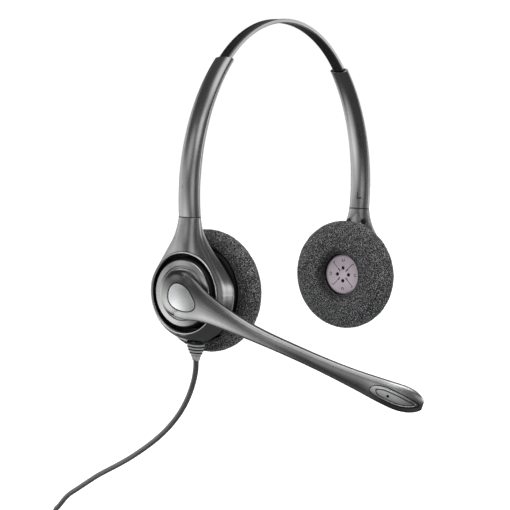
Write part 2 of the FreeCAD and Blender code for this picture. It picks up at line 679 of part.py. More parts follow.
def boom_tip_layer(depth):
    """Slab near the tip, from a depth below the outer crest to clear above it."""
    stations = range(90, 123, 2)
    knots = [row[0] for row in BOOM_STATIONS]
    thickness = [row[3] for row in BOOM_STATIONS]
    low = [boom_point(s, 0, monotone_cubic(s, knots, thickness) - depth) for s in stations]
    high = [boom_point(s, 0, 5.0) for s in stations]
    face = Part.Face(Part.Wire([spline_edge(low),
                                Part.makeLine(low[-1], high[-1]),
                                spline_edge(high),
                                Part.makeLine(high[0], low[0])]))
    face.translate(BOOM_ACROSS * -10)
    return face.extrude(BOOM_ACROSS * 20)


def plate_prism(grow):
    return boom_prism(PLATE_OUTLINE, PLATE_CENTRE, grow, 40, 100)


def badge_prism(grow, floor_x):
    return boom_prism(BADGE_OUTLINE, BADGE_CENTRE, grow, floor_x, 84)


def save_boom():
    arm = loft([boom_section(*station) for station in BOOM_STATIONS])
    hub = turned_smooth(
        [(78.1, 10.3), (78.9, 10.2), (79.9, 9.4), (80.7, 7.6), (81.2, 4.6), (81.35, 0.0)],
        [(76.5, 0.0), (76.5, 9.75), (77.2, 10.3)])
    hub_boss = x_cylinder(4.5, 72.6, 76.6)
    body = arm.fuse([hub, hub_boss])

    head_side = boom_head_side()
    hub_head_side = x_cylinder(12.5, 60, 79.2)
    wire_duct = boom_tube(9.5, 101.2, 0.75)
    mic_pocket = boom_cylinder(MIC_PLACE, 3.35, -1.5, 3.1)
    plate_recess = plate_prism(0.0).common(boom_tip_layer(0.87))

    outer = body.cut([head_side, hub_head_side])
    outer = outer.cut([wire_duct, mic_pocket, plate_recess])
    outer = outer.cut(badge_prism(0.35, 79.95))
    save("boom_shell_outer", outer, right=True)

    inner = body.common(head_side.fuse(hub_head_side))
    inner = inner.cut([wire_duct, mic_pocket])
    inner = inner.cut(x_cylinder(1.30, 70, 78.4))    # pivot screw bore
    save("boom_shell_inner", inner, right=True)

    save("boom_badge", body.common(badge_prism(0.0, 80.0)), right=True)
    plate = body.common(plate_prism(-0.22)).common(boom_tip_layer(0.80))
    plate = plate.cut([boom_cylinder(MIC_HOLE_PLACE, 0.6, 0, 4.0)])
    save("mic_plate", plate, right=True)
    save("boom_wire", boom_tube(10, 100.8, 0.45), right=True)


def save_microphone():
    save("mic_capsule", boom_cylinder(MIC_PLACE, 3.0, -1.3, 1.9), right=True)
    gasket = boom_cylinder(MIC_PLACE, 3.28, -1.4, 2.4)
    gasket = gasket.cut([boom_cylinder(MIC_PLACE, 3.05, -1.35, 2.1),
                         boom_cylinder(MIC_PLACE, 1.2, -0.4, 4.0)])
    save("mic_gasket", gasket, right=True)


def save_boom_pivot():
    """Screw and washers inside the right cup."""
    washer = x_cylinder(6.2, 71.95, 72.55).cut([x_cylinder(1.35, 71, 74)])
    wave_washer = x_cylinder(6.9, 73.0, 73.35).cut([x_cylinder(5.0, 72, 75)])
    shank = x_cylinder(1.25, 71.8, 77.9)
    head = x_cylinder(2.6, 70.7, 71.9)
    slot = Part.makeBox(0.6, 4.4, 0.7, Vector(70.6, -2.2, -0.35))
    screw = shank.fuse([head]).removeSplitter().cut([slot])
    save("pivot_washer", washer, right=True)
    save("pivot_wave_washer", wave_washer, right=True)
    save("pivot_screw", screw, right=True)


# ---- strain relief ------------------------------------------------------
RELIEF_HALF_Y, RELIEF_HALF_X = 4.8, 3.1
# distance below the top, scale of the ellipse
RELIEF_CORE = [(0.3, 0.70), (2.5, 0.66), (5.0, 0.56), (6.6, 0.50), (8.4, 0.37)]
# start, end, scale at start, scale at end
RELIEF_RIBS = [(0.55, 1.35, 0.98, 0.95), (2.05, 2.75, 0.92, 0.88),
               (3.45, 4.15, 0.83, 0.78), (4.85, 5.5, 0.70, 0.66)]


def relief_point(distance):
    return RELIEF_TOP + RELIEF_DIR * distance


def relief_ring(distance, scale, count=24):
    """Ellipse square to the strain relief, wider across Y."""
    across_x = X_AXIS - RELIEF_DIR * RELIEF_DIR.x
    across_x.normalize()
    across_y = RELIEF_DIR.cross(across_x)
    angles = [2 * math.pi * i / count for i in range(count)]
    return ring_wire([relief_point(distance)
                      + across_y * (RELIEF_HALF_Y * scale * math.cos(t))
                      + across_x * (RELIEF_HALF_X * scale * math.sin(t)) for t in angles])


def save_strain_relief():
    relief = loft([relief_ring(*station) for station in RELIEF_CORE], True)
    relief = relief.fuse([loft([relief_ring(start, scale0), relief_ring(end, scale1)], True)
                          for start, end, scale0, scale1 in RELIEF_RIBS])
    # round stub seated in the ring
    relief = relief.fuse([Part.makeCylinder(1.95, 3.2, relief_point(-1.9), RELIEF_DIR)])
    bore = Part.makeCylinder(CABLE_RADIUS + GAP, 15.0, relief_point(-4.6), RELIEF_DIR)
    save("strain_relief", relief.cut(bore), right=True)


# ---- cable and plug -----------------------------------------------------
# points between the strain relief and the plug's boot
CABLE_POINTS = [
    (65.0, 0.45, -36.75), (63.4, 4.0, -45.16), (61.2, 10.0, -54.07), (58.6, 17.5, -61.87),
    (55.0, 28.44, -70.67), (51.8, 38.7, -77.46), (48.6, 50.5, -84.59), (45.4, 63.9, -91.81),
    (42.6, 76.64, -98.50), (40.6, 85.56, -103.82), (38.8, 94.38, -109.16),
    (37.3, 102.38, -114.79), (36.2, 108.54, -120.79)]
PLUG_DIR = Vector(-0.10, 0.43, -0.90).normalize()
PLUG_ENTRY = Vector(35.55, 111.9, -126.2)     # the cable is straight from here
CABLE_END = PLUG_ENTRY + PLUG_DIR * 11.5      # plug distances start here
CONTACT_RADIUS = 1.75                         # 3.5 mm pin
CONTACT_BORE = 1.2


def save_cable():
    """Straight inside both boots, curved between them."""
    start, bend_start = relief_point(-1.7), relief_point(8.6)
    curve = Part.BSplineCurve()
    curve.interpolate(Points=[bend_start] + [Vector(*p) for p in CABLE_POINTS] + [PLUG_ENTRY],
                      InitialTangent=RELIEF_DIR, FinalTangent=PLUG_DIR)
    path = Part.Wire([Part.makeLine(start, bend_start),
                      curve.toShape(),
                      Part.makeLine(PLUG_ENTRY, CABLE_END)])
    ring = Part.Wire(Part.makeCircle(CABLE_RADIUS, start, RELIEF_DIR))
    save("cable", path.makePipeShell([ring], True, True), right=True)


def plug_point(distance):
    return CABLE_END + PLUG_DIR * distance


def plug_cylinder(radius, start, end):
    return Part.makeCylinder(radius, end - start, plug_point(start), PLUG_DIR)


def plug_cone(radius0, radius1, start, end):
    return Part.makeCone(radius0, radius1, end - start, plug_point(start), PLUG_DIR)


def save_plug_boot():
    boot = plug_cone(2.0, 3.1, -11.0, -3.0).fuse([plug_cylinder(2.2, -3.2, 1.0)])
    boot = boot.cut(plug_cylinder(CABLE_RADIUS + GAP, -12.0, 2.0))
    for k in range(3):
        groove = plug_cylinder(4.0, -9.6 + 2.1 * k, -8.7 + 2.1 * k)
        boot = boot.cut(groove.cut(plug_cylinder(1.83 + 0.22 * k, -11, 0)))
    save("plug_boot", boot, right=True)


def save_plug_grip():
    grip = plug_cone(3.6, 4.3, -2.95, 1.5)
    grip = grip.fuse([plug_cylinder(4.3, 1.5, 12.0), plug_cone(4.3, 3.2, 12.0, 14.0)])
    grip = grip.cut([plug_cylinder(2.25, -3.5, 1.05), plug_cylinder(1.2, 0.5, 16.0),
                     plug_cylinder(2.6, 8.0, 16.0)])
    save("plug_grip", grip, right=True)


def save_plug_pin():
    """Four-pole pin: sleeve and two rings, insulators, and the tip on its rod."""
    sleeve = plug_cylinder(2.55, 8.05, 14.6).fuse([plug_cylinder(CONTACT_RADIUS, 14.6, 19.6)])
    sleeve = sleeve.cut([plug_cylinder(CONTACT_BORE, 7.0, 20.0)])
    rings = [plug_cylinder(CONTACT_RADIUS, start, end)
             .cut(plug_cylinder(CONTACT_BORE, start - 0.5, end + 0.5))
             for start, end in ((20.2, 22.3), (22.9, 25.0))]
    save("plug_contacts", Part.makeCompound([sleeve] + rings), right=True)

    insulators = plug_cylinder(1.15, 6.9, 27.0)
    insulators = insulators.fuse([plug_cylinder(CONTACT_RADIUS, start, start + 0.5)
                                  for start in (19.65, 22.35, 25.05)])
    insulators = insulators.cut([plug_cylinder(0.6, 6.0, 28.0)])
    save("plug_insulators", insulators, right=True)

    # distance along the plug, radius
    tip_profile = [(25.6, 1.2), (25.6, 1.75), (26.1, 1.75), (26.8, 1.2), (27.6, 1.72),
                   (28.6, 1.0), (29.0, 0.0), (27.05, 0.0), (27.05, 1.2)]
    sideways = PLUG_DIR.cross(X_AXIS).normalize()
    outline = [plug_point(distance) + sideways * radius for distance, radius in tip_profile]
    tip = polygon_face(outline).revolve(CABLE_END, PLUG_DIR, 360)
    rod = plug_cylinder(0.55, 6.8, 27.2)
    save("plug_tip", rod.fuse([tip]).removeSplitter(), right=True)


# ---- build --------------------------------------------------------------
os.makedirs("parts", exist_ok=True)
save_headband()
save_headband_spring()
save_slider_tips()
save_arms()
save_detent_springs()
save_yokes()
save_yoke_screws()
save_pins()
save_capsules()
save_left_cap()
save_boom()
save_microphone()
save_boom_pivot()
save_strain_relief()
save_cable()
save_plug_boot()
save_plug_grip()
save_plug_pin()
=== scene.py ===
"""A headset: a headband, two arms with yokes, two foam-cushioned capsules and a microphone boom.

Frame: metres, +X the wearer's left, -Y the front, +Z up, z = 0 at the crown of the band. The boom is
on the right capsule (-X). Most sizes are in mm about the capsule line, the axis along X through both
capsules, which lies CROWN_Z below the crown; u is the distance outward along it from the middle.
"""
import math
import bpy
import bmesh
import numpy as np
from mathutils import Matrix, Vector
from mathutils.bvhtree import BVHTree

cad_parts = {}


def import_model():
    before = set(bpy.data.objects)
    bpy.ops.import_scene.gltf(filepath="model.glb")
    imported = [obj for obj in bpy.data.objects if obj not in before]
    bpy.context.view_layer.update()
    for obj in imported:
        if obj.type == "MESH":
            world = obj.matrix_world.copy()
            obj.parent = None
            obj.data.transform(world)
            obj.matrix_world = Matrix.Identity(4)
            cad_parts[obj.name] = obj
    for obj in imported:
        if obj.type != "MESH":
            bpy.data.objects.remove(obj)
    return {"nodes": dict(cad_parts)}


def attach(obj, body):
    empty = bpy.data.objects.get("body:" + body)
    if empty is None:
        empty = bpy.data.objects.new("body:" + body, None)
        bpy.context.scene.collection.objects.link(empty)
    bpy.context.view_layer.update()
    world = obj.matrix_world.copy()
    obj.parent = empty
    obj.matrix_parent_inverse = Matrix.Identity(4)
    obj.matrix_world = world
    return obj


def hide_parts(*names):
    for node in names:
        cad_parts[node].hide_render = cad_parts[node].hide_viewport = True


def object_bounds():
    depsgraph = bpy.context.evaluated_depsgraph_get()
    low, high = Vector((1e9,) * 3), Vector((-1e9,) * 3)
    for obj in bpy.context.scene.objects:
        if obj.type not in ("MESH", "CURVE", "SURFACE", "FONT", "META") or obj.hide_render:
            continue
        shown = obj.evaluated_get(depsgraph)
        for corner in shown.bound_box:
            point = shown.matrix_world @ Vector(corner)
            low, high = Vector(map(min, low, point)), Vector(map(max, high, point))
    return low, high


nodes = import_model()["nodes"]
cad_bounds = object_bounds()
scene = bpy.context.scene

MM = 0.001
CROWN_Z = 122.79                            # height of the crown above the capsule line, mm
SIDES = (("left", 1.0), ("right", -1.0))    # side and the sign of its X

# The boom's own axes: along it (forward and down) and across it (mostly down).
BOOM_ANGLE = math.radians(18.4)
BOOM_ALONG = (0.0, -math.cos(BOOM_ANGLE), -math.sin(BOOM_ANGLE))
BOOM_ACROSS = (0.0, math.sin(BOOM_ANGLE), -math.cos(BOOM_ANGLE))


def to_frame(x, y, z):
    """Capsule-line coordinates in mm to the frame in metres."""
    return Vector((x * MM, y * MM, (z - CROWN_Z) * MM))


def boom_yz(along, across):
    """Capsule-line y and z of a place in boom coordinates, mm."""
    return [BOOM_ALONG[i] * along + BOOM_ACROSS[i] * across for i in (1, 2)]


# ---------------------------------------------------------------- curves and meshes
def catmull(points, steps):
    """Closed Catmull-Rom curve through 2D points, with so many steps from each to the next."""
    p = np.asarray(points, float)
    count = len(p)
    curve = []
    for i in range(count):
        p0, p1, p2, p3 = p[(i - 1) % count], p[i], p[(i + 1) % count], p[(i + 2) % count]
        for k in range(steps):
            t = k / steps
            curve.append(0.5 * ((2 * p1) + (-p0 + p2) * t + (2 * p0 - 5 * p1 + 4 * p2 - p3) * t * t
                                + (-p0 + 3 * p1 - 3 * p2 + p3) * t ** 3))
    return np.array(curve)


def evenly_spaced(curve, count):
    """A closed curve resampled at equal lengths."""
    closed = np.vstack([curve, curve[:1]])
    lengths = np.concatenate([[0], np.cumsum(np.hypot(*np.diff(closed, axis=0).T))])
    stops = np.linspace(0, lengths[-1], count, endpoint=False)
    return np.stack([np.interp(stops, lengths, closed[:, i]) for i in (0, 1)], 1)


def outward_normals(loop):
    tangents = np.roll(loop, -1, 0) - np.roll(loop, 1, 0)
    tangents /= np.linalg.norm(tangents, axis=1)[:, None]
    normals = np.stack([tangents[:, 1], -tangents[:, 0]], 1)
    if np.sum((loop - loop.mean(0)) * normals) < 0:
        normals = -normals
    return normals


def turn(profile, segments):
    """A (u, radius) profile turned about the X axis, as points in rows of `segments`."""
    profile = np.asarray(profile, float)
    angles = np.linspace(0, 2 * math.pi, segments, endpoint=False)
    u = np.repeat(profile[:, 0][:, None], segments, 1)
    y = profile[:, 1][:, None] * np.cos(angles)[None]
    z = profile[:, 1][:, None] * np.sin(angles)[None]
    return np.stack([u, y, z], 2).reshape(-1, 3)


def grid_faces(rows, columns, closed=True):
    """Quads over rows of points that close on themselves; `closed` joins the last row to the first."""
    faces = []
    for i in range(rows if closed else rows - 1):
        this, following = i * columns, (i + 1) % rows * columns
        for j in range(columns):
            j2 = (j + 1) % columns
            faces.append((this + j, this + j2, following + j2, following + j))
    return faces


def new_mesh(name, verts, faces, smooth=True):
    mesh = bpy.data.meshes.new(name)
    mesh.from_pydata([tuple(v) for v in verts], [], faces)
    mesh.validate()
    mesh.update()
    ob = bpy.data.objects.new(name, mesh)
    scene.collection.objects.link(ob)
    if smooth:
        for polygon in mesh.polygons:
            polygon.use_smooth = True
    return ob


def new_solid(name, verts, faces, material, smooth=True):
    """A mesh with its normals turned outward and a material."""
    ob = new_mesh(name, verts, faces, smooth)
    bm = bmesh.new()
    bm.from_mesh(ob.data)
    bmesh.ops.recalc_face_normals(bm, faces=bm.faces)
    bm.to_mesh(ob.data)
    bm.free()
    ob.data.materials.append(materials[material])
    return ob


def surface_tree(name):
    """Ray-cast tree of a CAD piece."""
    bm = bmesh.new()
    bm.from_mesh(nodes[name].data)
    tree = BVHTree.FromBMesh(bm)
    bm.free()
    return tree


# ---------------------------------------------------------------- node graphs
class Graph:
    """Short ways to add nodes; an input given as a socket is linked, anything else is its value."""

    def __init__(self, tree):
        self.tree = tree

    def fill(self, node, inputs):
        for socket, value in inputs.items():
            if isinstance(value, bpy.types.NodeSocket):
                self.tree.links.new(value, node.inputs[socket])
            else:
                node.inputs[socket].default_value = value

    def new(self, kind, inputs=None, **settings):
        node = self.tree.nodes.new(kind)
        for key, value in settings.items():
            setattr(node, key, value)
        self.fill(node, inputs or {})
        return node

    def math(self, operation, *values):
        node = self.new("ShaderNodeMath", dict(enumerate(values)), operation=operation)
        return node.outputs[0]

    def vector_math(self, operation, *values, scale=None):
        inputs = dict(enumerate(values))
        if scale is not None:
            inputs["Scale"] = scale
        node = self.new("ShaderNodeVectorMath", inputs, operation=operation)
        return node.outputs["Value" if operation in ("DOT_PRODUCT", "LENGTH") else "Vector"]

    def map_range(self, value, start, end, low, high, interpolation="SMOOTHSTEP"):
        """Carry start..end to low..high."""
        inputs = {"Value": value, "From Min": start, "From Max": end, "To Min": low, "To Max": high}
        node = self.new("ShaderNodeMapRange", inputs, interpolation_type=interpolation)
        return node.outputs["Result"]


class Surface(Graph):
    """A material built round its Principled BSDF."""

    def __init__(self, name):
        self.material = bpy.data.materials.new(name)
        self.material.use_nodes = True
        super().__init__(self.material.node_tree)
        self.bsdf = self.tree.nodes["Principled BSDF"]
        self.coord = self.object_coord()

    def object_coord(self):
        return self.new("ShaderNodeTexCoord").outputs["Object"]

    def set(self, inputs):
        self.fill(self.bsdf, inputs)

    def source(self, name):
        """The socket that now feeds a BSDF input."""
        return self.bsdf.inputs[name].links[0].from_socket

    def noise(self, scale, detail=3.0, roughness=0.5, stretch=None):
        vector = self.coord
        if stretch:
            mapping = self.new("ShaderNodeMapping", {"Vector": vector, "Scale": stretch})
            vector = mapping.outputs["Vector"]
        inputs = {"Scale": scale, "Detail": detail, "Roughness": roughness, "Vector": vector}
        return self.new("ShaderNodeTexNoise", inputs).outputs["Fac"]

    def ramp(self, factor, stops):
        """Colour ramp through (position, colour) stops; a single number is a grey."""
        node = self.new("ShaderNodeValToRGB", {"Fac": factor})
        elements = node.color_ramp.elements
        while len(elements) < len(stops):
            elements.new(0.5)
        for element, (position, color) in zip(elements, stops):
            element.position = position
            element.color = (*color, 1) if isinstance(color, tuple) else (color, color, color, 1)
        return node.outputs["Color"]

    def spread(self, factor, low, high):
        """Carry 0..1 to low..high."""
        return self.math("ADD", self.math("MULTIPLY", factor, high - low), low)

    def relief(self, height, strength, distance, bevel=None):
        """Bump from a height, over edges rounded by the bevel radius (m)."""
        inputs = {"Strength": strength, "Distance": distance, "Height": height}
        if bevel:
            rounded = self.new("ShaderNodeBevel", {"Radius": bevel}, samples=6)
            inputs["Normal"] = rounded.outputs["Normal"]
        self.set({"Normal": self.new("ShaderNodeBump", inputs).outputs["Normal"]})

    def painted_crevice_shade(self, color, distance=0.0007, power=3.0, darkest=0.03):
        """Painted shade: ambient occlusion multiplied into the colour darkens the seams, grooves and gaps
        between neighbouring pieces.
        """
        occlusion = self.new("ShaderNodeAmbientOcclusion", {"Distance": distance}, samples=6)
        shade = self.spread(self.math("POWER", occlusion.outputs["AO"], power), darkest, 1.0)
        mix = self.new("ShaderNodeMix", data_type="RGBA", blend_type="MULTIPLY")
        self.fill(mix, {0: 1.0, 6: color, 7: shade})
        return mix.outputs[2]

    def from_axis(self, coord):
        """The vector to a point from the capsule line, square to it."""
        return self.vector_math("MULTIPLY_ADD", coord, (0.0, 1.0, 1.0), (0.0, 0.0, CROWN_Z * MM))

    def to_world(self, vector):
        """Turn a direction from object to world space, so that it follows a moved piece."""
        node = self.new("ShaderNodeVectorTransform", {0: vector}, vector_type="VECTOR",
                        convert_from="OBJECT", convert_to="WORLD")
        return node.outputs[0]

    def set_normal(self, vector):
        self.set({"Normal": self.vector_math("NORMALIZE", vector)})


# ---------------------------------------------------------------- shading shapes
def crown_across(surface, slope, half_width):
    """Round the shading of a flat-topped section across its width (the Y direction)."""
    normal = surface.source("Normal")
    split = surface.new("ShaderNodeSeparateXYZ", {0: surface.object_coord()})
    tilt = surface.map_range(split.outputs["Y"], -half_width, half_width, -slope, slope, "LINEAR")
    lean = surface.new("ShaderNodeCombineXYZ", {"Y": tilt}).outputs[0]
    surface.set_normal(surface.vector_math("ADD", normal, surface.to_world(lean)))


def dome_normal(surface, centre, curvature):
    """Shade as a smooth shallow dome that faces -X, round a centre (y, z) in mm."""
    y, z = centre
    offset = (-1.0, -y * MM * curvature, -(z - CROWN_Z) * MM * curvature)
    dome = surface.vector_math(
        "MULTIPLY_ADD", surface.object_coord(), (0.0, curvature, curvature), offset)
    surface.set_normal(surface.to_world(dome))


def lean_outward(surface, slope):
    """Tip the shading normal away from the capsule line, like a softly domed plate."""
    radial = surface.vector_math("NORMALIZE", surface.from_axis(surface.object_coord()))
    lean = surface.to_world(surface.vector_math("SCALE", radial, scale=slope))
    surface.set_normal(surface.vector_math("ADD", lean, surface.source("Normal")))


# Painted light and shade on the boom in soft bands: four stations along it and four across it (mm), then
# the gain.
# Each band rises from the first station to the second and falls from the third to the fourth.
BOOM_PAINTED_LIGHT_BANDS = [
    ((-40, -30, 20, 42), (-30, -29, -6, 3), -0.60),         # painted shade on the upper side of the hub
    ((50, 68, 92, 102), (-3.2, -0.5, 1.5, 4.2), -0.50),     # painted shade on the dull middle of the tube
    ((96, 104, 117, 121), (3.0, 5.5, 20, 21), -0.55),       # painted shade on the underside of the tip
    ((100, 108, 130, 131), (-20, -19, -3.0, 0.0), 0.75),    # painted highlight on the upper petal
]


def paint_boom_light_and_shade(surface):
    """Multiply the base colour by the painted light and shade bands."""
    color = surface.source("Base Color")
    coord = surface.object_coord()

    def measure(axis):
        """Distance in mm along a boom axis."""
        dot = surface.vector_math("DOT_PRODUCT", coord, axis)
        return surface.math("MULTIPLY_ADD", dot, 1 / MM, CROWN_Z * axis[2])

    def window(value, stations):
        rise_start, rise_end, fall_start, fall_end = stations
        rise = surface.map_range(value, rise_start, rise_end, 0.0, 1.0)
        fall = surface.map_range(value, fall_start, fall_end, 1.0, 0.0)
        return surface.math("MULTIPLY", rise, fall)

    along, across = measure(BOOM_ALONG), measure(BOOM_ACROSS)
    total = 1.0
    for along_stations, across_stations, gain in BOOM_PAINTED_LIGHT_BANDS:
        band = surface.math(
            "MULTIPLY", window(along, along_stations), window(across, across_stations))
        total = surface.math("ADD", total, surface.math("MULTIPLY", band, gain))
    surface.set({"Base Color": surface.vector_math("SCALE", color, scale=total)})


# ---------------------------------------------------------------- materials
def metal_paint(name, dark, light, metallic=1.0, rough=(0.22, 0.30), bevel=0.00022,
                crevice_shade=True, relief=True):
    """Satin metallic lacquer on moulded plastic: fine flake, faint tone drift, rounded edges, and painted
    shade in the seams and grooves unless turned off.
    """
    surface = Surface(name)
    flake = surface.noise(5200, 2.0, 0.6)
    drift = surface.noise(55, 3.0, 0.55)
    blend = surface.math("ADD", surface.math("MULTIPLY", flake, 0.35),
                         surface.math("MULTIPLY", drift, 0.65))
    color = surface.ramp(blend, [(0.3, dark), (0.7, light)])
    # The base colour carries painted shade in the seams and grooves.
    surface.set({
        "Base Color": surface.painted_crevice_shade(color) if crevice_shade else color,
        "Metallic": metallic,
        "Roughness": surface.spread(surface.noise(230, 4.0, 0.6), *rough),
        "Coat Weight": 0.2,
        "Coat Roughness": 0.12,
    })
    if relief:
        surface.relief(flake, strength=0.03, distance=0.00004, bevel=bevel)
    return surface


def shell_paint():
    surface = metal_paint("gunmetal_satin", (0.25, 0.25, 0.245), (0.31, 0.31, 0.304))
    crown_across(surface, slope=0.36, half_width=0.0058)
    return surface


def boom_paint():
    surface = metal_paint("boom_satin", (0.27, 0.27, 0.264), (0.33, 0.33, 0.323))
    # painted light and shade bands along the boom
    paint_boom_light_and_shade(surface)
    return surface


def trim_paint():
    surface = metal_paint("trim_silver", (0.33, 0.33, 0.325), (0.38, 0.38, 0.374),
                          rough=(0.24, 0.32), bevel=0.00012)
    lean_outward(surface, slope=0.27)
    return surface


def badge_paint():
    """The boom badge: its dome shading takes the place of the usual relief."""
    surface = metal_paint("badge_silver", 0.50, 0.57, metallic=0.8, rough=(0.2, 0.28),
                          crevice_shade=False, relief=False)
    dome_normal(surface, centre=boom_yz(along=4.0, across=0.5), curvature=26.0)
    return surface


def plastic(name, dark, light, rough=(0.42, 0.55), grain=1500, bump=0.25, specular=0.45):
    """Fine-textured moulded plastic."""
    surface = Surface(name)
    texture = surface.noise(grain, 3.0, 0.6)
    surface.set({
        "Base Color": surface.ramp(surface.noise(90), [(0.3, dark), (0.72, light)]),
        "Roughness": surface.spread(texture, *rough),
        "Specular IOR Level": specular,
    })
    surface.relief(texture, strength=bump, distance=0.00004, bevel=0.00015)
    return surface


def grille_screen(centre_radius=0.0116):
    """Pinkish grey screen in the middle of the speaker front, black round it."""
    surface = Surface("grille_mauve")
    texture = surface.noise(2200, 3.0, 0.6)
    pink = surface.ramp(surface.noise(90), [(0.3, (0.47, 0.40, 0.44)), (0.72, (0.56, 0.48, 0.525))])
    radius = surface.vector_math("LENGTH", surface.from_axis(surface.coord))
    # Painted shade: occlusion darkens the pink screen's slots and grooves; outside the middle the screen
    # is black.
    mix = surface.new("ShaderNodeMix", data_type="RGBA")
    surface.fill(mix, {
        0: surface.math("GREATER_THAN", radius, centre_radius),
        6: surface.painted_crevice_shade(pink, distance=0.0012, darkest=0.01),
        7: (0.010, 0.010, 0.010, 1),
    })
    surface.set({"Base Color": mix.outputs[2], "Roughness": surface.spread(texture, 0.36, 0.50)})
    surface.relief(texture, strength=0.2, distance=0.00004, bevel=0.00008)
    return surface


def metal(name, color, roughness=0.3, stretch=None):
    """Bare metal; a stretched noise makes it look brushed."""
    surface = Surface(name)
    streaks = surface.noise(900, 3.0, 0.6, stretch)
    shaded = tuple(channel * 0.82 for channel in color)
    surface.set({
        "Base Color": surface.ramp(streaks, [(0.3, shaded), (0.7, color)]),
        "Metallic": 1.0,
        "Roughness": surface.spread(streaks, roughness - 0.07, roughness + 0.08),
    })
    surface.relief(streaks, strength=0.12, distance=0.00003, bevel=0.0001)
    return surface


def rubber(name, dark, light, rough=(0.5, 0.62)):
    surface = Surface(name)
    texture = surface.noise(1300, 4.0, 0.65)
    color = surface.ramp(surface.noise(120), [(0.3, dark), (0.7, light)])
    # The base colour carries painted shade: occlusion darkens the gaps between the ribs and other hollows.
    surface.set({
        "Base Color": surface.painted_crevice_shade(color, distance=0.0018, power=5.0, darkest=0.008),
        "Roughness": surface.spread(texture, *rough),
        "Specular IOR Level": 0.4,
        "Sheen Weight": 0.05,
    })
    surface.relief(texture, strength=0.2, distance=0.00005, bevel=0.00015)
    return surface


def felt():
    surface = Surface("grille_felt")
    weave = surface.noise(2600, 5.0, 0.75)
    surface.set({
        "Base Color": surface.ramp(weave, [(0.35, 0.004), (0.7, 0.03)]),
        "Roughness": 0.95,
        "Sheen Weight": 0.4,
    })
    surface.relief(weave, strength=0.6, distance=0.00015)
    return surface


def foam():
    """Open-cell foam: black cells, grey struts round them, soft sheen."""
    surface = Surface("open_cell_foam")
    pit = surface.new("ShaderNodeAttribute", attribute_name="pit").outputs["Fac"]
    solid = surface.math("SUBTRACT", 1.0, pit)
    cells = surface.new("ShaderNodeTexVoronoi", {"Scale": 1650, "Vector": surface.coord},
                        feature="DISTANCE_TO_EDGE").outputs["Distance"]
    struts = surface.ramp(cells, [(0.0, 1.0), (0.10, 0.8), (0.26, 0.0)])
    specks = surface.ramp(surface.noise(2500, 3.0, 0.75), [(0.44, 0.0), (0.62, 1.0)])
    tone = surface.math("ADD", surface.math("MULTIPLY", solid, 0.30),
                        surface.math("MULTIPLY", struts, 0.25))
    tone = surface.math("ADD", tone, surface.math("MULTIPLY", specks, 0.45))

    # Painted shade: darker on the outer lip, away from the head, and towards the middle hole; distances in
    # m.
    split = surface.new("ShaderNodeSeparateXYZ", {0: surface.coord})
    outward = surface.math("ABSOLUTE", split.outputs["X"], 0.0)
    lip = surface.map_range(outward, 0.0600, 0.0650, 1.0, 0.40)
    radius = surface.vector_math("LENGTH", surface.from_axis(surface.coord))
    hole_shade = surface.map_range(radius, 0.0110, 0.0143, 0.30, 0.86)
    color = surface.ramp(
        tone, [(0.25, (0.002, 0.002, 0.0022)), (0.50, (0.020, 0.020, 0.021)), (0.88, (0.60, 0.60, 0.605))])
    surface.set({
        "Base Color": surface.vector_math("SCALE", color, scale=surface.math("MULTIPLY", lip, hole_shade)),
        "Roughness": 0.9,
        "Specular IOR Level": 0.2,
        "Sheen Weight": 0.12,
        "Sheen Roughness": 0.5,
    })
    surface.relief(tone, strength=0.7, distance=0.0003)
    return surface


surfaces = {
    "shell": shell_paint(),
    "boom": boom_paint(),
    "channel": metal_paint("band_rims", 0.32, 0.40, rough=(0.26, 0.36), bevel=0.0001),
    "trim": trim_paint(),
    "badge": badge_paint(),
    "badge_far": metal_paint("badge_silver_plain", 0.60, 0.67, metallic=0.8, rough=(0.2, 0.28),
                             bevel=0.0003, crevice_shade=False),
    "micplate": metal_paint("mic_plate_silver", 0.56, 0.64, rough=(0.25, 0.33), bevel=0.0001),
    # Lighter paint: on the yoke beads it is a painted highlight along the opening's edge, on the mic plate
    # it is the bright rim.
    "lip": metal_paint("bright_rim_and_painted_highlight", 0.50, 0.58, rough=(0.18, 0.25), bevel=None, crevice_shade=False),
    "black": plastic("black_moulded", 0.004, 0.008, specular=0.25),
    "liner": plastic("liner_dark", 0.008, 0.014, rough=(0.5, 0.62), grain=2600, bump=0.4,
                     specular=0.25),
    "gloss": plastic("gloss_black", 0.004, 0.007, rough=(0.16, 0.24), grain=600, bump=0.05),
    "grille": grille_screen(),
    "line": plastic("line_black", 0.003, 0.006, rough=(0.5, 0.6), specular=0.15),
    "mark": plastic("mark_ink", 0.012, 0.02, rough=(0.5, 0.6)),
    "steel": metal("spring_steel", (0.55, 0.55, 0.56), stretch=(1.0, 0.08, 1.0)),
    "screw": metal("screw_dark", (0.10, 0.10, 0.105)),
    "contact": metal("contact_plate", (0.80, 0.76, 0.62), roughness=0.16),
    "copper": metal("copper_wire", (0.70, 0.36, 0.20)),
    "cone": plastic("diaphragm_film", 0.06, 0.09, rough=(0.3, 0.4), grain=500),
    "rubber": rubber("boot_rubber", 0.27, 0.34),
    "cable": rubber("cable_jacket", 0.045, 0.07, rough=(0.2, 0.28)),
    "felt": felt(),
    "foam": foam(),
}
materials = {key: surface.material for key, surface in surfaces.items()}

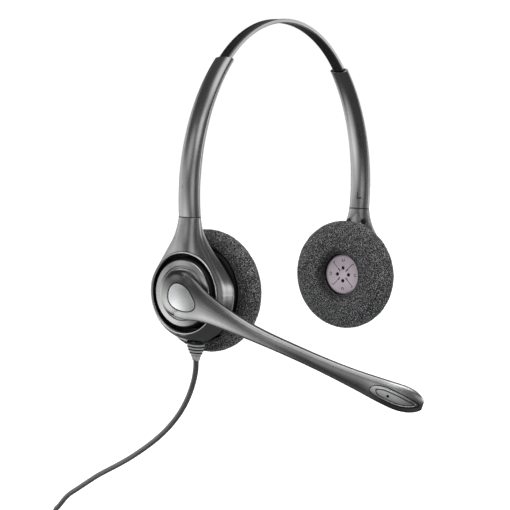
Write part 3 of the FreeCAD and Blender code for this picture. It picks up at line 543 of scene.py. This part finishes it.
# Material of each CAD piece by its full name, then by the start of its name; the rest are black.
BY_NAME = {
    "headband_channel": "channel", "headband_inlay": "gloss", "headband_liner": "liner",
    "headband_spring": "steel", "crossover_flex": "copper", "boom_shell_outer": "boom",
    "boom_shell_inner": "boom", "boom_badge": "badge", "mic_plate": "micplate",
    "mic_capsule": "steel", "mic_gasket": "rubber", "boom_wire": "copper",
    "pivot_washer": "steel", "pivot_wave_washer": "steel", "pivot_screw": "screw",
    "strain_relief": "rubber", "cable": "cable", "plug_boot": "rubber", "plug_grip": "black",
    "plug_contacts": "contact", "plug_insulators": "black", "plug_tip": "contact",
    "blank_cap_left": "shell", "cap_badge_left": "badge_far",
}
BY_PREFIX = {
    "arm_cover": "shell", "yoke_shell": "shell", "yoke_screws": "screw", "swivel_pin": "steel",
    "tilt_pins": "steel", "detent": "steel", "side_letter": "mark", "slider_tip": "black",
    "speaker_cup": "black", "trim_disc": "trim", "speaker_front": "grille", "grille_felt": "felt",
    "driver_basket": "black", "driver_magnet": "steel", "diaphragm": "cone", "ear_cushion": "foam",
}


def material_for(name):
    if name in BY_NAME:
        return materials[BY_NAME[name]]
    for prefix, key in BY_PREFIX.items():
        if name.startswith(prefix):
            return materials[key]
    return materials["black"]


for name, ob in nodes.items():
    ob.data.materials.clear()
    ob.data.materials.append(material_for(name))

# ---------------------------------------------------------------- foam cushions
# Section of a cushion: u and distance from the capsule line, mm.
FOAM_PROFILE = [
    (51.80, 14.9), (51.80, 17.2), (51.92, 19.6), (52.65, 22.7), (54.3, 25.7), (57.0, 27.45),
    (59.6, 27.25), (61.5, 25.9), (63.2, 24.5), (64.4, 23.2), (64.9, 22.0), (64.7, 21.1),
    (64.0, 20.65), (63.1, 20.7), (62.4, 21.2), (62.0, 21.78), (61.2, 21.78), (61.02, 17.5),
    (61.02, 13.3), (60.2, 12.3), (58.4, 11.2), (56.4, 10.5), (54.2, 10.8), (52.6, 12.3),
]
COARSE_CELL, FINE_CELL = 0.86, 0.52                     # sizes of the two sets of cells, mm
CELL_SEEDS = {"left": (11, 5), "right": (23, 7)}        # coarse and fine
SEAT_RADIUS = 21.9                                      # the outer face inside this is hidden


def worley(points, cell, seed):
    """Distances to the nearest and second nearest jittered lattice points, in cells."""
    scaled = points / cell
    base = np.floor(scaled).astype(np.int64)
    nearest = np.full(len(points), 9.0)
    second = np.full(len(points), 9.0)
    for dx in (-1, 0, 1):
        for dy in (-1, 0, 1):
            for dz in (-1, 0, 1):
                corner = base + np.array([dx, dy, dz])
                # Hash the lattice corner, then draw three 16-bit jitters from it.
                state = ((corner[:, 0] * 73856093) ^ (corner[:, 1] * 19349663)
                         ^ (corner[:, 2] * 83492791) ^ (seed * 2654435761)) & 0xFFFFFFFF
                jitter = []
                for k in range(3):
                    state = (state * 1664525 + 1013904223 + k * 7919) & 0xFFFFFFFF
                    jitter.append(((state >> 8) & 0xFFFF) / 65535.0)
                distance = np.linalg.norm(scaled - (corner + np.stack(jitter, 1)), axis=1)
                closer = distance < nearest
                second = np.where(closer, nearest, np.minimum(second, distance))
                nearest = np.where(closer, distance, nearest)
    return nearest, second


def smoothstep(value):
    value = np.clip(value, 0, 1)
    return value * value * (3 - 2 * value)


def relieve_bottom(points, radius):
    """Hold back the outer lip at the bottom, so it clears the cable boot when the capsule tilts."""
    low = smoothstep((-points[:, 2] / np.maximum(radius, 1.0) - 0.74) / 0.14)
    limit = np.where(radius > 23.5, 60.75, 61.25)
    limit = np.where(radius < SEAT_RADIUS, 61.9, limit)
    excess = np.maximum(points[:, 0] - limit, 0.0) * (radius > 20.3)
    points[:, 0] -= excess * low


def foam_cushion(side, sign):
    rows, segments = ((230, 560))
    profile = evenly_spaced(catmull(FOAM_PROFILE, 12), rows)
    points = turn(profile, segments)
    normals = turn(outward_normals(profile), segments)
    u, y, z = points.T
    radius = np.hypot(y, z)

    coarse_seed, fine_seed = CELL_SEEDS[side]
    coarse_near, coarse_second = worley(points, COARSE_CELL, coarse_seed)
    fine_near, fine_second = worley(points, FINE_CELL, fine_seed)
    # 0 on the struts, 1 inside a cell
    coarse_pit = np.clip((coarse_second - coarse_near) / 0.28, 0, 1)
    fine_pit = np.clip((fine_second - fine_near) / 0.38, 0, 1)
    depth = 0.30 * coarse_pit * (1 - 0.4 * coarse_near) + 0.12 * fine_pit
    lump = 0.10 * np.sin(y * 0.55 + 1.3) * np.sin(z * 0.47 + u * 0.6)
    hidden = (u > 60.7) & (radius < SEAT_RADIUS)
    points = points - normals * np.where(hidden, 0.0, depth - lump * 0.6)[:, None]

    # Away from the hole the cushion sits a little forward and is stretched along Y.
    weight = smoothstep((radius - 14.0) / 9.0)
    points[:, 1] = points[:, 1] * (1 + 0.03 * weight) - 0.6 * weight
    if side == "right":
        relieve_bottom(points, radius)
    points[:, 0] *= sign
    points[:, 2] -= CROWN_Z

    ob = new_solid("foam_cushion_" + side, points * MM, grid_faces(rows, segments), "foam")
    pit = np.clip(0.65 * coarse_pit + 0.35 * fine_pit, 0, 1)
    attribute = ob.data.attributes.new("pit", "FLOAT", "POINT")
    attribute.data.foreach_set("value", pit.astype(np.float32))
    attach(ob, "capsule_" + side)
    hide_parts("ear_cushion_" + side)


for side, sign in SIDES:
    foam_cushion(side, sign)

# ---------------------------------------------------------------- ring beads, a painted highlight on the yoke opening's edge
LIP_U, LIP_RADIUS = 75.44, 17.86            # centre of the bead's section, mm
LIP_HALF_U, LIP_HALF_RADIAL = 0.22, 0.36    # half-axes of its elliptical section
LIP_SECTION_POINTS, LIP_SEGMENTS = 14, 220


def yoke_lip(side, sign):
    angles = [2 * math.pi * i / LIP_SECTION_POINTS for i in range(LIP_SECTION_POINTS)]
    section = [(LIP_U + LIP_HALF_U * math.cos(a), LIP_RADIUS + LIP_HALF_RADIAL * math.sin(a))
               for a in angles]
    points = turn(section, LIP_SEGMENTS)
    points[:, 0] *= sign
    points[:, 2] -= CROWN_Z
    faces = grid_faces(LIP_SECTION_POINTS, LIP_SEGMENTS)
    # The bead's lighter paint is a painted highlight on the opening's edge.
    ob = new_solid("yoke_lip_" + side, points * MM, faces, "lip")
    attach(ob, "yoke_" + side)


for side, sign in SIDES:
    yoke_lip(side, sign)

# ---------------------------------------------------------------- lines laid on the boom; the dark lines in the plate's and badge's grooves are painted shade
# Outlines in boom coordinates (along, across), mm.
PLATE = [
    (98.0, 1.2), (98.9, 2.4), (102.0, 3.4), (106.2, 3.95), (110.4, 3.9), (114.2, 3.05),
    (116.7, 1.85), (118.0, 0.4), (115.6, -0.75), (111.4, -1.5), (107.3, -1.9), (103.6, -1.95),
    (100.2, -1.15), (98.4, 0.05),
]
PLATE_INNER = [
    (100.7, 0.86), (101.4, 0.12), (103.3, -0.45), (106.0, -0.5), (109.6, -0.32), (113.3, 0.22),
    (116.3, 0.85), (113.9, 2.2), (110.6, 2.9), (107.0, 2.85), (103.9, 2.56), (101.6, 1.95),
]
BADGE = [
    (-0.4, -4.8), (2.4, -5.1), (5.4, -4.4), (8.1, -2.8), (10.4, -1.0), (11.5, 0.7), (11.2, 2.5),
    (9.4, 4.1), (6.2, 5.4), (2.5, 5.9), (-0.5, 5.3), (-2.6, 3.6), (-3.5, 1.2), (-3.5, -1.5),
    (-2.4, -3.6),
]
TUBE_SIDES = 8


def boom_point(along, across):
    """A point well outside the boom, on its -X side."""
    return to_frame(-120.0, *boom_yz(along, across))


def tube_loop(points, radius):
    """Vertices of a closed tube along a loop of points in metres."""
    outward = Vector((-1.0, 0.0, 0.0))
    verts = []
    for i, point in enumerate(points):
        tangent = (points[(i + 1) % len(points)] - points[i - 1]).normalized()
        across = tangent.cross(outward).normalized()
        up = across.cross(tangent).normalized()
        for k in range(TUBE_SIDES):
            a = 2 * math.pi * k / TUBE_SIDES
            verts.append(point + across * (math.cos(a) * radius) + up * (math.sin(a) * radius))
    return verts


def inlay(name, tree, outline, material, radius, sink, grow, probe):
    """A fine line laid round an outline grown by `grow` and sunk into the surface by `sink`.

    The height is read on the outline grown by `probe`, which keeps the rays on the piece; where a
    ray misses, the last height holds.
    """
    loop = catmull(outline, 8)
    normals = outward_normals(loop)
    points = []
    surface_x = None
    for place, look in zip(loop + normals * grow, loop + normals * probe):
        hit = tree.ray_cast(boom_point(*look), Vector((1.0, 0.0, 0.0)))[0]
        if hit is not None:
            surface_x = (hit + Vector((sink * MM, 0.0, 0.0))).x
        if surface_x is None:
            continue
        point = boom_point(*place)
        point.x = surface_x
        points.append(point)
    faces = grid_faces(len(points), TUBE_SIDES)
    ob = new_solid(name, tube_loop(points, radius * MM), faces, material)
    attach(ob, "boom")


plate_tree = surface_tree("mic_plate")
# Painted shade: a dark line in the groove round the mic plate.
inlay("mic_plate_groove_shade", plate_tree, PLATE, "line",
      radius=0.17, sink=0.05, grow=0.0, probe=-0.45)
inlay("mic_plate_inner_line", plate_tree, PLATE_INNER, "line",
      radius=0.15, sink=0.04, grow=0.0, probe=0.0)
inlay("mic_plate_bright_rim", plate_tree, PLATE_INNER, "lip",
      radius=0.26, sink=0.12, grow=0.42, probe=0.35)
# Painted shade: a dark line in the groove round the badge.
inlay("badge_groove_shade", surface_tree("boom_badge"), BADGE, "line",
      radius=0.20, sink=0.03, grow=0.17, probe=-0.3)

# ---------------------------------------------------------------- seam shade rings
# Thin dark rings, painted shade that stands in for the shadow in the seam between each arm and its yoke.
# Each is set square to an arc in the XZ plane, at an angle measured from +Z; mm.
SEAM_ANGLE = math.radians(97.25)
ARC_RADIUS = 85.14
ARC_X, ARC_Z = -12.76, 44.05
SEAM_SEGMENTS = 96
SEAM_HALF_WIDTH = 5.85                  # along Y
SEAM_HALF_DEPTH = 1.98                  # along the arc's radius
SEAM_OUTER_SHARE = 0.83                 # the half away from the arc's centre is shallower
SEAM_POWER = 2.5                        # superellipse exponent
# Corners of the ring's section: growth of the outline, place along the arc.
SEAM_SECTION = [(-0.28, -0.16), (0.045, -0.16), (0.045, 0.20), (-0.28, 0.20)]


def seam_shade_ring(side, sign):
    sine, cosine = math.sin(SEAM_ANGLE), math.cos(SEAM_ANGLE)
    tangent = Vector((cosine, 0.0, -sine))
    normal = Vector((sine, 0.0, cosine))
    centre = Vector((ARC_X + ARC_RADIUS * sine, 0.0, ARC_Z + ARC_RADIUS * cosine))
    verts = []
    for growth, along in SEAM_SECTION:
        for i in range(SEAM_SEGMENTS):
            angle = 2 * math.pi * i / SEAM_SEGMENTS
            c, s = math.cos(angle), math.sin(angle)
            half_depth = SEAM_HALF_DEPTH * (SEAM_OUTER_SHARE if s > 0 else 1.0) + growth
            y = math.copysign(abs(c) ** (2 / SEAM_POWER), c) * (SEAM_HALF_WIDTH + growth)
            depth = math.copysign(abs(s) ** (2 / SEAM_POWER), s) * half_depth
            p = centre + normal * depth + tangent * along + Vector((0, y, 0))
            verts.append(to_frame(sign * p.x, p.y, p.z))
    faces = grid_faces(len(SEAM_SECTION), SEAM_SEGMENTS)
    # Painted shade: a dark ring in the seam's gap.
    ob = new_solid("seam_shade_ring_" + side, verts, faces, "line", smooth=False)
    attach(ob, "yoke_" + side)


for side, sign in SIDES:
    seam_shade_ring(side, sign)

# ---------------------------------------------------------------- arm fillers
# Tiny flush discs over the moulding pip on each arm's outer face; mm in the frame.
PIP_Y, PIP_Z = 2.78, -76.25
PIP_RADIUS = 0.85
PIP_CLEARANCE = 1.9         # the cover is read this far above and below, clear of the pip
PIP_SKIRT = 0.25            # depth of the closed underside
PIP_RINGS, PIP_SEGMENTS = 5, 28
COVER_X = 73.8              # stands in where a ray misses the cover


def arm_filler(side, sign):
    tree = surface_tree("arm_cover_outer_" + side)

    def cover_hit(y, z):
        return tree.ray_cast(Vector((0.12 * sign, y * MM, z * MM)), Vector((-sign, 0, 0)))[0]

    verts = []
    for k in range(PIP_RINGS):
        q = k / (PIP_RINGS - 1.0)
        for i in range(PIP_SEGMENTS):
            angle = 2 * math.pi * i / PIP_SEGMENTS
            y = PIP_Y + PIP_RADIUS * q * math.cos(angle)
            z = PIP_Z + PIP_RADIUS * q * math.sin(angle)
            above, below = cover_hit(y, z + PIP_CLEARANCE), cover_hit(y, z - PIP_CLEARANCE)
            x = COVER_X * MM * sign
            if above is not None and below is not None:
                x = 0.5 * (above.x + below.x)
            # slightly proud in the middle, slightly sunk at the edge
            verts.append((x + sign * MM * (0.03 - 0.06 * q * q), y * MM, z * MM))
    base = len(verts)
    verts += [(x - sign * PIP_SKIRT * MM, y, z) for x, y, z in verts[-PIP_SEGMENTS:]]
    faces = grid_faces(PIP_RINGS + 1, PIP_SEGMENTS, closed=False)
    faces.append(tuple(range(base, base + PIP_SEGMENTS)))
    ob = new_solid("arm_filler_" + side, verts, faces, "shell")
    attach(ob, "arm_" + side)


for side, sign in SIDES:
    arm_filler(side, sign)

# ---------------------------------------------------------------- camera
# In front of the headset and to its right; the place is in capsule-line mm.
CAMERA_PLACE = Vector((-584.19, -394.28, 67.96))
CAMERA_RIGHT = (0.57498, -0.81786, 0.02245)
CAMERA_UP = (0.05119, 0.06335, 0.99668)
CAMERA_BACK = (-0.81656, -0.57192, 0.07829)


def add_camera():
    data = bpy.data.cameras.new("camera")
    data.sensor_width = 36.0
    data.sensor_height = 36.0
    data.sensor_fit = "HORIZONTAL"
    data.lens = 104.237647
    data.clip_start = 0.02
    data.clip_end = 60.0
    camera = bpy.data.objects.new("camera", data)
    scene.collection.objects.link(camera)
    pose = Matrix((CAMERA_RIGHT, CAMERA_UP, CAMERA_BACK)).transposed().to_4x4()
    pose.translation = (CAMERA_PLACE - Vector((0, 0, CROWN_Z))) * MM
    camera.matrix_world = pose
    scene.camera = camera


add_camera()

# ---------------------------------------------------------------- floor
FLOOR_HALF = 6
FLOOR_GAP = 0.004           # below the lowest point of the CAD pieces


def floor_material():
    """Pale floor that glows only as the camera sees it."""
    surface = Surface("floor_pale")
    camera_ray = surface.new("ShaderNodeLightPath").outputs["Is Camera Ray"]
    stops = [(0.3, (0.80, 0.81, 0.83)), (0.7, (0.84, 0.845, 0.855))]
    surface.set({
        "Base Color": surface.ramp(surface.noise(3, 2), stops),
        "Roughness": 0.7,
        "Emission Color": (0.97, 0.98, 1.0, 1),
        "Emission Strength": surface.math("MULTIPLY", camera_ray, 0.80),
    })
    return surface.material


floor_z = cad_bounds[0][2] - FLOOR_GAP
corners = [(x * FLOOR_HALF, y * FLOOR_HALF, floor_z) for x, y in ((-1, -1), (1, -1), (1, 1), (-1, 1))]
floor = new_mesh("floor", corners, [(0, 1, 2, 3)], smooth=False)
floor.data.materials.append(floor_material())
floor.visible_glossy = False

# ---------------------------------------------------------------- world
# Soft round panels of light: direction, half angle and softness in degrees, strength.
PANELS = [
    ((0.16, -0.98, 0.12), 13, 11, 2.4),      # front: bright line down the front flanks
    ((-0.54, -0.80, 0.05), 16, 10, 0.45),    # front right: soft fill beside the camera
    ((-0.42, 0.88, -0.18), 20, 9, 1.05),     # rear right: rear edges and the trim disc
    ((0.20, 0.97, -0.05), 20, 9, 1.3),       # rear
    ((-0.48, 0.74, -0.48), 17, 7, 1.0),      # rear right, low: pale floor behind
    ((-0.28, -0.12, 0.95), 20, 12, 2.1),     # overhead
    ((-0.83, 0.02, 0.54), 9, 11, 2.0),       # right, high: bright stripe of the right arm
    ((-0.72, 0.62, 0.32), 7, 8, 1.25),       # rear right, high: top of the disc
    ((-0.985, 0.08, 0.02), 9, 9, 1.2),       # right: lower arm
    ((-0.74, 0.60, -0.26), 9, 10, 0.75),     # rear right, low: yoke neck, boom root and disc
    ((-0.95, 0.0, -0.26), 8, 10, 0.45),      # right, low: side of the boom tip
    ((0.82, -0.57, -0.08), 15, 12, 1.2),     # front left: band edges
    ((0.95, -0.1, 0.25), 22, 12, 1.0),       # left
    ((0.76, 0.62, -0.18), 13, 10, 0.8),      # rear left
]
AMBIENT = 0.13


def build_world():
    """White to the camera; light panels on a dim ground for everything else."""
    world = bpy.data.worlds.new("studio")
    scene.world = world
    world.use_nodes = True
    world.node_tree.nodes.clear()
    graph = Graph(world.node_tree)
    direction = graph.new("ShaderNodeTexCoord").outputs["Generated"]
    strength = AMBIENT
    for panel, half_angle, softness, panel_strength in PANELS:
        dot = graph.vector_math("DOT_PRODUCT", direction, Vector(panel).normalized())
        outer = math.cos(math.radians(half_angle + softness))
        inner = math.cos(math.radians(max(half_angle - softness, 0.5)))
        light = graph.map_range(dot, outer, inner, 0.0, panel_strength)
        strength = graph.math("ADD", strength, light)
    seen = graph.new("ShaderNodeBackground", {"Color": (1, 1, 1, 1), "Strength": 1.02})
    lighting = graph.new("ShaderNodeBackground",
                         {"Color": (0.98, 0.99, 1.0, 1), "Strength": strength})
    camera_ray = graph.new("ShaderNodeLightPath").outputs["Is Camera Ray"]
    mix = graph.new("ShaderNodeMixShader",
                    {0: camera_ray, 1: lighting.outputs[0], 2: seen.outputs[0]})
    graph.new("ShaderNodeOutputWorld", {"Surface": mix.outputs[0]})


build_world()

# ---------------------------------------------------------------- lights
LIGHT_TARGET = Vector((0, 0, -0.08))
# Name, place, width, height (None for a square) and power in watts.
AREA_LIGHTS = [
    ("key_top", (-0.25, -0.20, 0.75), 0.6, None, 5.0),
    ("fill_right", (-0.9, 0.35, 0.15), 0.5, 0.9, 1.6),
    ("fill_front", (-0.1, -1.0, 0.1), 0.35, 0.9, 1.8),
]


def area_light(name, place, width, height, power):
    """An area light aimed at the target and left out of reflections."""
    data = bpy.data.lights.new(name, "AREA")
    data.shape = "RECTANGLE" if height else "SQUARE"
    data.size = width
    if height:
        data.size_y = height
    data.energy = power
    light = bpy.data.objects.new(name, data)
    scene.collection.objects.link(light)
    light.location = place
    aim = LIGHT_TARGET - Vector(place)
    light.rotation_euler = aim.to_track_quat("-Z", "Y").to_euler()
    light.visible_glossy = False


for entry in AREA_LIGHTS:
    area_light(*entry)

scene.view_settings.view_transform = "Standard"
scene.view_settings.look = "None"
scene.view_settings.exposure = 0.0
scene.view_settings.gamma = 1.0
